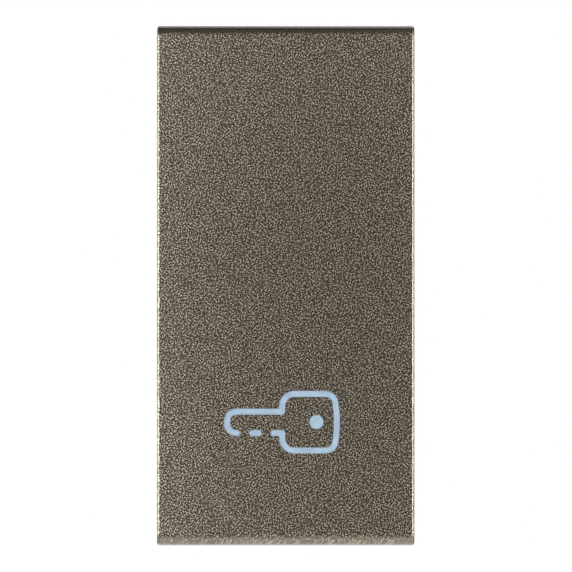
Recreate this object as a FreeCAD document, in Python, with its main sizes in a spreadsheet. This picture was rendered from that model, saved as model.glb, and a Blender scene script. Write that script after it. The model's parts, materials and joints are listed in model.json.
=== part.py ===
import FreeCAD, Part
import math
import os
import re

import Sketcher

# Illuminated push button switch, one module of a modular wiring system.
# Axes: X to the right, Z up, the button faces -Y. The origin is the centre of the
# module on the seat plane, where the flange rests on its mounting frame.
# Every length is in millimetres.

os.makedirs("parts", exist_ok=True)
doc = FreeCAD.newDocument("push_button_switch")

SIZES = {
    # the place that one module fills
    "module_width": 22.5,
    "module_height": 45.0,
    # button cap
    "cap_face": 9.6,
    "cap_depth": 5.2,
    "cap_wall": 1.3,
    "cap_skin": 1.6,
    "cap_crown": 0.25,
    "cap_draft": 0.05,
    "top_rounding": 0.8,
    "bottom_rounding": 1.0,
    "side_rounding": 0.22,
    "hook_width": 2.6,
    "hook_thick": 0.8,
    "hook_place": 5.0,
    # key symbol, measured to the middle of its stroke, heights from the middle of the symbol
    "symbol_low": 10.525,
    "key_stroke": 0.57,
    "key_gap": 0.03,
    "bow_left": -0.30,
    "bow_right": 4.42,
    "bow_top": 2.56,
    "bow_bottom": -2.33,
    "bow_rounding_left": 1.05,
    "bow_rounding_right": 0.9,
    "bow_bulge": 0.11,
    "shaft_top": 1.03,
    "shaft_bottom": -0.82,
    "shaft_left": -5.05,
    "shaft_rounding": 0.8,
    "left_stub_end": -4.20,
    "right_stub_end": -1.025,
    "dash_middle": -2.61,
    "dash_length": 0.54,
    "eye_across": 2.66,
    "eye_up": 0.13,
    "eye_radius": 0.63,
    # light window and lamp
    "inlay_thick": 0.6,
    "window_width": 12.2,
    "window_height": 8.0,
    "lamp_across": -0.1,
    "lamp_height": 8.0,
    "board_thick": 1.0,
    "board_front": 2.0,
    "led_width": 3.0,
    "led_height": 2.8,
    "led_thick": 0.9,
    "pin_radius": 0.5,
    "lead_radius": 0.25,
    # carriage
    "press_travel": 1.6,
    "stop_gap": 0.05,
    "bumper_thick": 0.25,
    "carriage_plate": 1.4,
    "leg_thick": 1.0,
    "leg_width": 4.0,
    "leg_barb": 0.6,
    "ear_reach": 4.2,
    "plunger_across": -3.2,
    "plunger_radius": 1.5,
    "nose_radius": 0.8,
    # front frame
    "flange_thick": 1.5,
    "flange_rounding": 0.8,
    "seat_rise": 0.2,
    "tube_side_wall": 0.8,
    "tube_end_wall": 1.2,
    "tube_reach": 2.2,
    "tongue_width": 4.0,
    "bearing_place": 4.5,
    "bearing_width": 2.0,
    # equalizer wires
    "wire_radius": 0.5,
    "wire_arm": 8.5,
    "wire_bend": 0.8,
    "wire_axis_front": 2.6,
    # rear housing
    "housing_depth": 23.0,
    "housing_side_wall": 1.2,
    "housing_end_wall": 1.3,
    "housing_rear_wall": 1.4,
    "housing_rounding": 1.0,
    "mount_thick": 1.6,
    "tooth_rise": 0.8,
    "tooth_length": 2.0,
    "wire_hole_radius": 1.9,
    "screw_hole_radius": 2.2,
    # insulating plate and terminals
    "insulator_thick": 1.2,
    "sheet_thick": 0.8,
    "strip_space": 1.6,
    "wire_space": 2.8,
    "clamp_thick": 1.0,
    "strip_inner": 1.2,
    "screw_radius": 1.5,
    "screw_head_radius": 2.4,
    "screw_head_thick": 2.0,
    # contacts
    "lever_width": 4.5,
    "lever_length": 13.1,
    "lever_tongue": 2.6,
    "tip_down": 12.4,
    "tip_thick": 0.7,
    "tip_radius": 1.2,
    "contact_gap": 0.02,
    # springs
    "return_up": -1.8,
    "return_radius": 2.2,
    "return_wire": 0.25,
    "return_turns": 4.5,
    "contact_spring_radius": 1.35,
    "contact_spring_wire": 0.15,
    "contact_spring_turns": 3,
}

PLACES = {
    # outlines that keep their clearances when the module changes
    "cap_width": "module_width - 0.2",
    "cap_height": "module_height - 0.15",
    "carriage_width": "module_width - 3.5",
    "carriage_height": "module_height - 3.6",
    "flange_width": "module_width - 0.5",
    "flange_height": "module_height - 0.6",
    "tube_width": "module_width - 4.5",
    "tube_height": "module_height - 7.2",
    "housing_width": "module_width - 1.9",
    "housing_height": "module_height - 4",
    "insulator_width": "housing_width - 2.6",
    "insulator_height": "housing_height - 2.8",
    # from front to back
    "cap_front": "-cap_face",
    "cap_inner": "cap_front + cap_skin",
    "cap_rim": "cap_front + cap_depth",
    "cap_side": "cap_width / 2",
    "cap_end": "cap_height / 2",
    "inlay_front": "cap_inner - inlay_thick",
    "plate_rear": "cap_inner + carriage_plate",
    "bumper_front": "plate_rear + press_travel + stop_gap",
    "tube_front": "bumper_front + bumper_thick",
    "flange_rear": "-seat_rise",
    "flange_front": "flange_rear - flange_thick",
    "tube_side": "tube_width / 2",
    "tube_end": "tube_height / 2",
    "tube_inner_side": "tube_side - tube_side_wall",
    "tube_inner_end": "tube_end - tube_end_wall",
    "housing_side": "housing_width / 2",
    "housing_end": "housing_height / 2",
    "housing_inner_side": "housing_side - housing_side_wall",
    "housing_inner_end": "housing_end - housing_end_wall",
    "rear_wall_front": "housing_depth - housing_rear_wall",
    "insulator_front": "housing_depth - 12.2",
    "insulator_rear": "insulator_front + insulator_thick",
    "strip_front": "insulator_rear + strip_space",
    "strip_rear": "strip_front + sheet_thick",
    "clamp_front": "strip_rear + wire_space",
    "clamp_rear": "clamp_front + clamp_thick",
    "wire_line": "strip_rear + wire_space / 2",
    # terminals, contact lever and springs
    "terminal_across": "housing_inner_side - 4.7",
    "terminal_up": "housing_inner_end - 5.6",
    "strip_outer": "insulator_width / 2 - 0.3",
    "wire_hole_across": "housing_inner_side - 2.1",
    "pivot_back": "insulator_front - 2.7",
    "pivot_up": "housing_inner_end - 1.2",
    "plunger_up": "pivot_up - 8",
    "contact_spring_up": "pivot_up - 6",
    "post_front": "insulator_front - 7.8",
    "blade_inner": "pivot_up - sheet_thick / 2",
    "blade_outer": "pivot_up + sheet_thick / 2",
    "lever_tilt": "press_travel / (pivot_up - plunger_up) * 180 / pi",
    "lever_front_at_rest": "pivot_back - sheet_thick / 2 / cos(lever_tilt) "
                           "- (pivot_up - plunger_up) * tan(lever_tilt)",
    "nose_middle": "lever_front_at_rest - (nose_radius + stop_gap) / cos(lever_tilt)",
    "fixed_front": "insulator_front - sheet_thick",
    "fixed_tip_front": "pivot_back + sheet_thick / 2 + tip_thick + contact_gap",
    # equalizer wires, ears and legs
    "wire_axis_up": "tube_inner_end - 0.8",
    "wire_span": "tube_inner_side - 0.7",
    "wire_pin": "wire_span - 1.7",
    "wire_tilt": "asin(press_travel / 2 / wire_arm) / 1deg",
    "ear_slot": "-(wire_axis_front + press_travel / 2)",
    "ear_slot_up": "wire_axis_up - wire_arm",
    "ear_inner": "wire_pin + 0.15",
    "ear_outer": "wire_pin + 1.05",
    "ear_low": "ear_slot_up - 1.5",
    "ear_high": "ear_slot_up + 1.5",
    "leg_outer": "tube_inner_side - 0.15",
    "leg_inner": "leg_outer - leg_thick",
    "leg_place": "ear_slot_up - 3.4",
    "leg_low": "leg_place - leg_width / 2",
    "leg_high": "leg_place + leg_width / 2",
    "leg_tip": "tube_reach + 1.3",
    "tongue_place": "tube_inner_end - 4.7",
    # symbol and lamp
    "symbol_across": "-0.25",
    "symbol_up": "symbol_low - cap_end",
    "lamp_up": "symbol_up + 0.1",
    "lamp_rear": "board_front + board_thick",
    "lamp_front": "board_front - 1.0",
    "lamp_width": "module_width - 11.5",
    "board_width": "lamp_width - 1.4",
    "board_height": "lamp_height - 1.4",
    "pin_across": "lamp_width / 2 - 1.5",
    "pin_up": "lamp_up + 2.3",
    "lead_reach": "lamp_width / 2 - 2.3",
    "resistor_up": "lamp_up + 0.2",
    "diode_up": "lamp_up - lamp_height / 2 + 1.9",
    "spring_front": "pivot_back + sheet_thick / 2 / cos(lever_tilt) "
                    "- (pivot_up - contact_spring_up - contact_spring_radius - 0.2) * tan(lever_tilt) + 0.02",
}

sizes = doc.addObject("Spreadsheet::Sheet", "Sizes")
for row, (name, value) in enumerate(SIZES.items(), start=1):
    sizes.set(f"A{row}", name.replace("_", " "))
    sizes.set(f"B{row}", str(value))
    sizes.setAlias(f"B{row}", name)
doc.recompute()

OWNER = {name: f"Sizes.{name}" for name in SIZES}
OWNER.update({name: f"Places.{name}" for name in PLACES})


def full(text):
    """Write the owner of every size or place named in an expression before its name."""
    return re.sub(r"[a-z][a-z_]*", lambda word: OWNER.get(word.group(0), word.group(0)), str(text))


places = doc.addObject("App::VarSet", "Places")
for name in PLACES:
    places.addProperty("App::PropertyFloat", name, "", "")
for name, text in PLACES.items():
    places.setExpression(name, full(text))
doc.recompute()


# Outlines. A loop is a list of corners, each given by two expressions.

def rect(across_low, across_high, up_low, up_high):
    return [(across_low, up_low), (across_high, up_low), (across_high, up_high), (across_low, up_high)]


def mirrored(loop, sides):
    """The loop once for each pair of signs in sides."""
    return [[(f"{a} * ({x})", f"{b} * ({z})") for x, z in loop] for a, b in sides]


LEFT_RIGHT = [(1, 1), (-1, 1)]
UP_DOWN = [(1, 1), (1, -1)]
FOUR = [(1, 1), (-1, 1), (1, -1), (-1, -1)]


def disc(across, up, radius):
    return {"centre": (across, up), "radius": radius}


def discs(across, up, radius, sides):
    return [disc(f"{a} * ({across})", f"{b} * ({up})", radius) for a, b in sides]


probe = doc.addObject("App::VarSet", "Probe")
probe.addProperty("App::PropertyFloat", "reading", "", "")
readings = {}


def number_of(text):
    """The present value of an expression."""
    if text not in readings:
        probe.setExpression("reading", full(text))
        probe.recompute()
        readings[text] = probe.reading
    return readings[text]


def at(geometry, point, across, up):
    """Constraints that hold one point of a sketch at two expressions from the sketch origin."""
    return [
        (("DistanceX", -1, 1, geometry, point), across),
        (("DistanceY", -1, 1, geometry, point), up),
    ]


def constrain(sketch, wanted):
    """Add all constraints in one go, then bind those that have an expression."""
    first = sketch.ConstraintCount
    sketch.addConstraint([
        Sketcher.Constraint(*kind, number_of(text)) if text else Sketcher.Constraint(*kind)
        for kind, text in wanted
    ])
    for index, (kind, text) in enumerate(wanted, start=first):
        if text:
            sketch.setExpression(f"Constraints[{index}]", full(text))


def joined(one, one_end, other, other_end):
    return (("Coincident", one, one_end, other, other_end), None)


def turned_about_x(degrees):
    return FreeCAD.Placement(FreeCAD.Vector(0, 0, 0), FreeCAD.Rotation(FreeCAD.Vector(1, 0, 0), degrees))


def spot(across, up):
    return FreeCAD.Vector(number_of(across), number_of(up), 0)


def draw_loop(sketch, corners):
    count = len(corners)
    spots = [spot(across, up) for across, up in corners]
    first = sketch.GeometryCount
    sketch.addGeometry([Part.LineSegment(spots[n], spots[(n + 1) % count]) for n in range(count)])
    wanted = []
    for number, (across, up) in enumerate(corners):
        wanted.append(joined(first + number, 2, first + (number + 1) % count, 1))
        wanted += at(first + number, 1, across, up)
    constrain(sketch, wanted)


def draw_disc(sketch, item):
    across, up = item["centre"]
    circle = Part.Circle(spot(across, up), FreeCAD.Vector(0, 0, 1), number_of(item["radius"]))
    number = sketch.addGeometry(circle)
    constrain(sketch, at(number, 3, across, up) + [(("Radius", number), item["radius"])])


def draw_arc(sketch, begin, finish, middle):
    """A short arc about middle; returns its number and which of its ends lie at begin and finish."""
    one, other = begin - middle, finish - middle
    turns_left = one.cross(other).z > 0
    first, last = (one, other) if turns_left else (other, one)
    low = math.atan2(first.y, first.x)
    high = math.atan2(last.y, last.x)
    if high < low:
        high += 2 * math.pi
    circle = Part.Circle(middle, FreeCAD.Vector(0, 0, 1), one.Length)
    arc = sketch.addGeometry(Part.ArcOfCircle(circle, low, high))
    return (arc, 1, 2) if turns_left else (arc, 2, 1)


def bulging_side(sketch, start, stop, bulge):
    """An arc between two points of one upright line, bulging to the right by bulge."""
    half = f"((({start[1]}) - ({stop[1]})) / 2)"
    radius = f"({half} ^ 2 + {bulge} ^ 2) / 2 / {bulge}"
    middle = spot(f"({start[0]}) + {bulge} - {radius}", f"(({start[1]}) + ({stop[1]})) / 2")
    arc, entry, leaving = draw_arc(sketch, start[2], stop[2], middle)
    return arc, entry, leaving, (("Radius", arc), radius)


def draw_path(sketch, corners, bulges=None):
    """An open path of straight lines; a corner with a radius is rounded by it.

    bulges holds, by the number of the corner where a side starts, how far that side bulges.
    """
    bulges = bulges or {}
    spots = [spot(across, up) for across, up, _ in corners]
    joints = []
    for number, (across, up, radius) in enumerate(corners):
        if not radius:
            joints.append([(across, up, spots[number])])
            continue
        pair = []
        for other in (number - 1, number + 1):
            way = (spots[other] - spots[number]).normalize()
            pair.append((
                f"({across}) + ({round(way.x)}) * ({radius})",
                f"({up}) + ({round(way.y)}) * ({radius})",
                spots[number] + way * number_of(radius),
            ))
        joints.append(pair)
    wanted = []
    before = None
    for number in range(len(corners) - 1):
        start, stop = joints[number][-1], joints[number + 1][0]
        if number in bulges:
            side, first, last, limit = bulging_side(sketch, start, stop, bulges[number])
            wanted.append(limit)
        else:
            side, first, last = sketch.addGeometry(Part.LineSegment(start[2], stop[2])), 1, 2
        wanted += at(side, last, stop[0], stop[1])
        if before:
            wanted.append(joined(*before, side, first))
        if number == 0 or corners[number][2]:
            wanted += at(side, first, start[0], start[1])
        before = (side, last)
        if len(joints[number + 1]) > 1:
            finish = joints[number + 1][1]
            middle = stop[2] + finish[2] - spots[number + 1]
            arc, entry, leaving = draw_arc(sketch, stop[2], finish[2], middle)
            wanted.append(joined(side, last, arc, entry))
            wanted.append((("Radius", arc), corners[number + 1][2]))
            before = (arc, leaving)
    constrain(sketch, wanted)


# Features of a body. The plane names give the plane that an outline lies in, and
# start and end are measured along +Y for XZ, along +X for YZ and along +Z for XY.

def sketch_on(body, plane, start):
    sketch = body.newObject("Sketcher::SketchObject", "Sketch")
    support = [item for item in body.Origin.OriginFeatures if item.Role == f"{plane}_Plane"][0]
    sketch.AttachmentSupport = (support, [""])
    sketch.MapMode = "FlatFace"
    sign = "-" if plane == "XZ" else ""
    sketch.setExpression(".AttachmentOffset.Base.z", full(f"{sign}({start})"))
    return sketch


def outline(body, plane, start, loops):
    sketch = sketch_on(body, plane, start)
    for loop in loops:
        if isinstance(loop, dict):
            draw_disc(sketch, loop)
        else:
            draw_loop(sketch, loop)
    return sketch


def feature(body, kind, plane, start, end, loops, backwards):
    item = body.newObject(f"PartDesign::{kind}", kind)
    item.Profile = outline(body, plane, start, loops)
    item.setExpression("Length", full(f"({end}) - ({start})"))
    item.Reversed = backwards
    return item


def add(body, start, end, loops, plane="XZ"):
    return feature(body, "Pad", plane, start, end, loops, plane == "XZ")


def cut(body, start, end, loops, plane="XZ"):
    return feature(body, "Pocket", plane, start, end, loops, plane != "XZ")


def edges_where(shape, wanted):
    return [f"Edge{number}" for number, edge in enumerate(shape.Edges, start=1) if wanted(edge)]


def soften(body, kind, amount, wanted):
    """Fillet or Chamfer the edges of the body's last feature that wanted picks."""
    doc.recompute()
    base = body.Tip
    item = body.newObject(f"PartDesign::{kind}", kind)
    item.Base = (base, edges_where(base.Shape, wanted))
    item.setExpression("Radius" if kind == "Fillet" else "Size", full(amount))
    doc.recompute()
    return item


def runs_along(edge, axis):
    """True for a straight edge along the axis x, y or z."""
    if not isinstance(edge.Curve, Part.Line):
        return False
    return abs(abs(getattr(edge.Curve.Direction, axis)) - 1) < 1e-6


def near(one, other):
    return abs(one - other) < 1e-3


def body_named(label):
    body = doc.addObject("PartDesign::Body", label)
    body.Label = label
    return body


NODES = []


def node(item, label):
    item.Label = label
    NODES.append(item)
    return item


# Button cap: a shell with a crowned face, drafted sides and rounded ends.

def draw_crowned_profile(sketch):
    """Side view of the cap block: rear rim, two straight ends and the crowned face."""
    shoulder = "cap_front + cap_crown"
    radius = "(cap_end ^ 2 + cap_crown ^ 2) / 2 / cap_crown"
    low_front, low_rear = spot(shoulder, "-cap_end"), spot("cap_rim", "-cap_end")
    high_front, high_rear = spot(shoulder, "cap_end"), spot("cap_rim", "cap_end")
    bottom = sketch.addGeometry(Part.LineSegment(low_front, low_rear))
    rim = sketch.addGeometry(Part.LineSegment(low_rear, high_rear))
    top = sketch.addGeometry(Part.LineSegment(high_rear, high_front))
    crown, entry, leaving = draw_arc(sketch, high_front, low_front, spot(f"cap_front + {radius}", "0"))
    constrain(sketch, [
        joined(bottom, 2, rim, 1),
        joined(rim, 2, top, 1),
        joined(top, 2, crown, entry),
        joined(crown, leaving, bottom, 1),
        *at(bottom, 1, shoulder, "-cap_end"),
        *at(bottom, 2, "cap_rim", "-cap_end"),
        *at(top, 1, "cap_rim", "cap_end"),
        *at(top, 2, shoulder, "cap_end"),
        (("Radius", crown), radius),
    ])


def cap_form(label):
    """The outside of the cap as one solid block."""
    body = body_named(label)
    profile = sketch_on(body, "YZ", "-cap_side")
    draw_crowned_profile(profile)
    block = body.newObject("PartDesign::Pad", "Block")
    block.Profile = profile
    block.setExpression("Length", full("cap_width"))
    for hand, rounding in ((1, "top_rounding"), (-1, "bottom_rounding")):
        soften(body, "Fillet", rounding, lambda edge: (
            runs_along(edge, "x")
            and edge.BoundBox.YMax < places.cap_rim - 1
            and near(edge.BoundBox.ZMax, hand * places.cap_end)
        ))
    for hand in (1, -1):
        wedge = [
            (f"{hand} * cap_side", "cap_rim"),
            (f"{hand} * (cap_side - cap_draft)", "cap_front + 1.2"),
            (f"{hand} * (cap_side - cap_draft)", "cap_front - 0.01"),
            (f"{hand} * (cap_side + 1)", "cap_front - 0.01"),
            (f"{hand} * (cap_side + 1)", "cap_rim"),
        ]
        cut(body, "-cap_end - 1", "cap_end + 1", [wedge], "XY")
    reach = number_of("cap_side - cap_draft - 0.02")
    soften(body, "Fillet", "side_rounding", lambda edge: (
        min(abs(edge.BoundBox.XMin), abs(edge.BoundBox.XMax)) > reach
        and edge.BoundBox.YMin < places.cap_rim - 0.01
    ))
    return body


KEY_LINE = [
    ("left_stub_end", "symbol_up + shaft_bottom", None),
    ("shaft_left", "symbol_up + shaft_bottom", "shaft_rounding"),
    ("shaft_left", "symbol_up + shaft_top", "shaft_rounding"),
    ("bow_left", "symbol_up + shaft_top", None),
    ("bow_left", "symbol_up + bow_top", "bow_rounding_left"),
    ("bow_right - bow_bulge", "symbol_up + bow_top", "bow_rounding_right"),
    ("bow_right - bow_bulge", "symbol_up + bow_bottom", "bow_rounding_right"),
    ("bow_left", "symbol_up + bow_bottom", "bow_rounding_left"),
    ("bow_left", "symbol_up + shaft_bottom", None),
    ("right_stub_end", "symbol_up + shaft_bottom", None),
]
KEY_BULGES = {5: "bow_bulge"}


def raise_to_face(label, base):
    """Extrude a flat outline from the inlay to past the cap face."""
    raised = doc.addObject("Part::Extrusion", f"{label}_raised")
    raised.Base = base
    raised.DirMode = "Custom"
    raised.Dir = FreeCAD.Vector(0, -1, 0)
    raised.Solid = True
    raised.setExpression("LengthFwd", full("inlay_front - cap_front + 1"))
    return raised


def flat_sketch(label):
    """A free sketch in the plane of the inlay front, seen from the button side."""
    sketch = doc.addObject("Sketcher::SketchObject", label)
    sketch.Placement = turned_about_x(90)
    sketch.setExpression("Placement.Base.y", full("inlay_front"))
    return sketch


def key_prism(label, narrower):
    """The strokes and the eye of the key symbol, standing from the inlay to past the cap face."""
    half = f"(key_stroke / 2 - {narrower})"
    low = "symbol_up + shaft_bottom"
    line = flat_sketch(f"{label}_line")
    draw_path(line, KEY_LINE, KEY_BULGES)
    stroke = doc.addObject("Part::Offset2D", f"{label}_stroke")
    stroke.Source = line
    stroke.Mode = "Pipe"
    stroke.Join = "Arc"
    stroke.Fill = True
    stroke.setExpression("Value", full(half))
    dash = flat_sketch(f"{label}_dash")
    dash_left, dash_right = "dash_middle - dash_length / 2", "dash_middle + dash_length / 2"
    draw_loop(dash, rect(dash_left, dash_right, f"{low} - {half}", f"{low} + {half}"))
    left_end = flat_sketch(f"{label}_dash_left_end")
    draw_disc(left_end, disc(dash_left, low, half))
    right_end = flat_sketch(f"{label}_dash_right_end")
    draw_disc(right_end, disc(dash_right, low, half))
    eye = flat_sketch(f"{label}_eye")
    draw_disc(eye, disc("eye_across", "symbol_up + eye_up", f"eye_radius - {narrower}"))
    flats = (stroke, dash, left_end, right_end, eye)
    prism = doc.addObject("Part::MultiFuse", label)
    prism.Shapes = [raise_to_face(f"{label}_{number}", flat) for number, flat in enumerate(flats)]
    return prism


def window_loop(room):
    """The outline of the inlay plate, larger by room on every side."""
    return rect(
        f"symbol_across - window_width / 2 - {room}", f"symbol_across + window_width / 2 + {room}",
        f"symbol_up - window_height / 2 - {room}", f"symbol_up + window_height / 2 + {room}",
    )


def make_cap():
    shell = cap_form("cap_shell")
    cut(shell, "cap_inner", "cap_rim", [rect(
        "-(cap_side - cap_wall)", "cap_side - cap_wall", "-(cap_end - cap_wall)", "cap_end - cap_wall",
    )])
    soften(shell, "Fillet", "0.8", lambda edge: (
        runs_along(edge, "y") and abs(edge.BoundBox.XMax) < places.cap_side - 1
    ))
    cut(shell, "inlay_front", "cap_inner", [window_loop("0.02")])
    hook_front = "plate_rear + 0.05"
    hook_root = "carriage_height / 2 - 0.6"
    hook_back = f"{hook_root} + hook_thick"
    hook = [
        ("cap_inner", hook_root), (hook_front, hook_root), (hook_front, f"{hook_root} - 0.6"),
        (f"{hook_front} + 0.2", f"{hook_root} - 0.6"), (f"{hook_front} + 0.95", hook_root),
        (f"{hook_front} + 0.95", hook_back), ("cap_inner", hook_back),
    ]
    for hand in (1, -1):
        middle = f"{hand} * hook_place"
        add(shell, f"{middle} - hook_width / 2", f"{middle} + hook_width / 2", mirrored(hook, UP_DOWN), "YZ")
    symbol = key_prism("key_slots", "0")
    cap = doc.addObject("Part::Cut", "button_cap")
    cap.Base = shell
    cap.Tool = symbol
    return cap


def make_inlay():
    """A clear plate behind the cap face with ribs that fill the slots flush with the face."""
    plate = body_named("inlay_plate")
    add(plate, "inlay_front", "cap_inner", [window_loop("0")])
    limit = cap_form("inlay_limit")
    ribs = doc.addObject("Part::Common", "inlay_ribs")
    ribs.Base = key_prism("inlay_strokes", "key_gap")
    ribs.Tool = limit
    inlay = doc.addObject("Part::Fuse", "symbol_inlay")
    inlay.Base = plate
    inlay.Tool = ribs
    return inlay


# Carriage: the plate under the cap, with snap legs, ears for the two wires and a plunger seat.

def make_carriage():
    body = body_named("carriage")
    add(body, "cap_inner", "plate_rear", [rect(
        "-carriage_width / 2", "carriage_width / 2", "-carriage_height / 2", "carriage_height / 2",
    )])
    soften(body, "Fillet", "0.6", lambda edge: runs_along(edge, "y"))
    cut(body, "cap_inner", "plate_rear", [window_loop("0.05")])
    notch = rect(
        "hook_place - hook_width / 2 - 0.3", "hook_place + hook_width / 2 + 0.3",
        "carriage_height / 2 - 0.8", "carriage_height / 2 + 1",
    )
    cut(body, "cap_inner", "plate_rear", mirrored(notch, FOUR))
    leg = rect("leg_inner", "leg_outer", "leg_low", "leg_high")
    add(body, "plate_rear", "leg_tip", mirrored(leg, FOUR))
    barb_front = "tube_reach + stop_gap"
    barb = [
        ("leg_outer - 0.2", barb_front),
        ("leg_outer + leg_barb", barb_front),
        ("leg_outer + leg_barb", f"{barb_front} + 0.35"),
        ("leg_outer", "leg_tip"),
        ("leg_outer - 0.2", "leg_tip"),
    ]
    for low, high in (("leg_low", "leg_high"), ("-leg_high", "-leg_low")):
        add(body, low, high, mirrored(barb, LEFT_RIGHT), "XY")
    ear = rect("ear_inner", "ear_outer", "ear_low", "ear_high")
    add(body, "plate_rear", "plate_rear + ear_reach", mirrored(ear, FOUR))
    slot = rect("ear_slot - wire_radius - 0.05", "ear_slot + wire_radius + 0.05",
                "ear_slot_up - 1", "ear_slot_up + 1")
    cut(body, "-ear_outer - 0.1", "ear_outer + 0.1", mirrored(slot, UP_DOWN), "YZ")
    add(body, "plate_rear", "plate_rear + 1.8", [
        disc("0", "return_up", "return_radius + return_wire + 0.95"),
        disc("0", "return_up", "return_radius + return_wire + 0.15"),
    ])
    add(body, "plate_rear", "plate_rear + 2", [
        disc("plunger_across", "plunger_up", "plunger_radius + 0.8"),
        disc("plunger_across", "plunger_up", "plunger_radius + 0.05"),
    ])
    rib_end = "wire_axis_up - 1.3"
    add(body, "plate_rear", "plate_rear + 1.2", [
        rect("1.2", "1.8", "4", rib_end), rect("3.6", "4.2", "-6", rib_end),
    ])
    return body


def make_plunger():
    """Stepped pin with a ball nose."""
    body = body_named("plunger")
    step = "nose_middle - 1.4"
    add(body, "plate_rear", step, [disc("plunger_across", "plunger_up", "plunger_radius")])
    soften(body, "Chamfer", "0.4", lambda edge: (
        near(edge.BoundBox.YMax, number_of(step)) and near(edge.BoundBox.YMin, edge.BoundBox.YMax)
    ))
    add(body, step, "nose_middle", [disc("plunger_across", "plunger_up", "nose_radius")])
    ball = body.newObject("PartDesign::AdditiveSphere", "Nose")
    ball.setExpression("Radius", full("nose_radius"))
    for axis, text in (("x", "plunger_across"), ("y", "nose_middle"), ("z", "plunger_up")):
        ball.setExpression(f"Placement.Base.{axis}", full(text))
    return body


# Front frame: the flange, the guide tube of the carriage, bearings and holding posts.

def make_frame():
    body = body_named("front_frame")
    outside = rect("-flange_width / 2", "flange_width / 2", "-flange_height / 2", "flange_height / 2")
    inside = rect("-tube_inner_side", "tube_inner_side", "-tube_inner_end", "tube_inner_end")
    add(body, "flange_front", "flange_rear", [outside, inside])
    soften(body, "Fillet", "flange_rounding", lambda edge: (
        runs_along(edge, "y") and abs(edge.BoundBox.XMax) > 0.45 * places.flange_width
    ))
    soften(body, "Chamfer", "0.3", lambda edge: (
        near(edge.BoundBox.YMax, places.flange_front) and edge.BoundBox.YLength < 1e-6
        and max(abs(edge.BoundBox.XMax), abs(edge.BoundBox.XMin)) > 0.45 * places.flange_width
    ))
    tube = rect("-tube_side", "tube_side", "-tube_end", "tube_end")
    add(body, "tube_front", "tube_reach", [tube, inside])
    seat = rect(
        "flange_width / 2 - 4.8", "flange_width / 2 - 1.1", "housing_end + 0.3", "flange_height / 2 - 0.1",
    )
    add(body, "flange_rear", "0", mirrored(seat, FOUR))
    block = rect("bearing_place - bearing_width / 2", "bearing_place + bearing_width / 2",
                 "wire_axis_up - 1", "tube_inner_end + 0.1")
    add(body, "-wire_axis_front - 1.6", "-wire_axis_front + 1.4", mirrored(block, FOUR))
    for hand in (1, -1):
        axis_up = f"{hand} * wire_axis_up"
        cut(body, "-bearing_place - 1.1", "bearing_place + 1.1",
            [disc("-wire_axis_front", axis_up, "wire_radius + 0.06")], "YZ")
    mouth = rect("-wire_axis_front - 1.7", "-wire_axis_front", "wire_axis_up - 0.45", "wire_axis_up + 0.45")
    cut(body, "-bearing_place - 1.1", "bearing_place + 1.1", mirrored(mouth, UP_DOWN), "YZ")
    rail = rect("leg_inner + 0.15", "tube_inner_side + 0.1", "leg_low - 1", "leg_low - 0.15")
    add(body, "tube_front", "tube_reach", mirrored(rail, FOUR))
    low, high = "tongue_place - tongue_width / 2", "tongue_place + tongue_width / 2"
    tongue = rect("tube_inner_side", "tube_side", low, high)
    add(body, "tube_reach", "tube_reach + 2.3", mirrored(tongue, FOUR))
    barb = [
        ("tube_side - 0.2", "tube_reach + 0.8"), ("tube_side + 0.9", "tube_reach + 0.8"),
        ("tube_side + 0.9", "tube_reach + 1.1"), ("tube_side", "tube_reach + 2.1"),
        ("tube_side - 0.2", "tube_reach + 2.1"),
    ]
    for first, last in ((low, high), (f"-({high})", f"-({low})")):
        add(body, first, last, mirrored(barb, LEFT_RIGHT), "XY")
    post = rect("tube_inner_side - 0.5", "tube_side - 0.1", "tube_inner_end - 0.9", "tube_end - 0.1")
    add(body, "tube_reach", "insulator_front - stop_gap", mirrored(post, FOUR))
    return body


def make_bumpers():
    body = body_named("damping_pads")
    pad = rect("5.5", "tube_side - 0.2", "tube_inner_end + 0.1", "tube_end - 0.1")
    add(body, "bumper_front", "tube_front", mirrored(pad, FOUR))
    return body


# Rear housing: the box behind the wall plate with the terminal chambers.

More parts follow.
